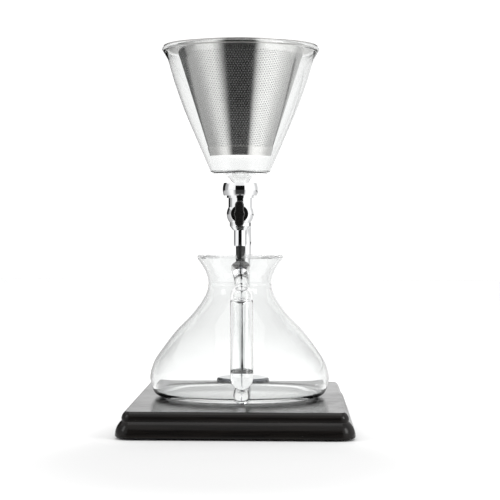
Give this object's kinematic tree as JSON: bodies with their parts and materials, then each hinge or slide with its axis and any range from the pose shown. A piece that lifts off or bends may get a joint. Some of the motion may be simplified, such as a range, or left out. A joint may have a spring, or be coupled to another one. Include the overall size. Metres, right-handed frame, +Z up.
{
  "type": "manual drip coffee brewer",
  "caption": "Manual drip coffee brewer: steel cone filter in a glass cone on a chrome post with a lever valve, over a glass server with a glass handle on a black moulded base.",
  "frame": {"origin": "centre of the base at the bottom of the rubber feet", "axes": "+Z up through the brewing axis, -Y is the front with the valve lever and the server's handle, +X to the right seen from the front"},
  "size_m": [0.2, 0.28, 0.3397],
  "materials": {
    "black_wood": "satin gloss black lacquer",
    "rubber": "matte",
    "screw_steel": "zinc plated",
    "chrome_plate": "polished",
    "turned_steel": "turned",
    "seat_white": "smooth",
    "silicone_black": "soft satin",
    "silicone_clear": "translucent",
    "black_plastic": "moulded, semi-gloss",
    "clear_glass": "clear borosilicate",
    "filter_steel": "micro-perforated, bright",
    "rim_steel": "polished"
  },
  "bodies": {
    "stand": {"base_board": "black_wood", "rubber_feet": "rubber", "feet_screws": "screw_steel", "post_flange": "chrome_plate", "post_tube": "chrome_plate", "post_plug": "turned_steel", "post_bolt": "screw_steel", "post_washer": "screw_steel", "arm_spigot": "turned_steel", "arm_nut": "chrome_plate", "valve_body": "chrome_plate", "ball_seats": "seat_white", "packing_nut": "chrome_plate", "inlet_neck": "chrome_plate", "neck_o_ring": "silicone_black", "cone_gasket": "silicone_clear", "collar_nut": "chrome_plate", "spout_tube": "chrome_plate", "spout_o_ring": "silicone_black", "outlet_tip": "silicone_black"},
    "valve_rotor": {"valve_ball": "turned_steel", "valve_stem": "turned_steel", "stem_o_rings": "silicone_black", "valve_lever": "black_plastic", "lever_screw": "screw_steel"},
    "dripper": {"glass_cone": "clear_glass"},
    "filter": {"filter_cone": "filter_steel", "filter_lip": "rim_steel", "filter_base": "filter_steel"},
    "server": {"server_body": "clear_glass", "server_funnel": "clear_glass", "server_handle": "clear_glass"}
  },
  "joints": [
    {"name": "valve_turn", "type": "hinge", "parent": "stand", "child": "valve_rotor", "pos_m": [0, -0.004, 0.188], "axis": [0, 1, 0], "range_deg": [0, 90]},
    {"name": "dripper_lift", "type": "slide", "parent": "stand", "child": "dripper", "axis": [0, 0, 1], "range_m": [0, 0.03]},
    {"name": "filter_lift", "type": "slide", "parent": "dripper", "child": "filter", "axis": [0, 0, 1], "range_m": [0, 0.105]},
    {"name": "server_slide", "type": "slide", "parent": "stand", "child": "server", "axis": [0, -1, 0], "range_m": [0, 0.23], "deforming": ["outlet_tip"]}
  ]
}
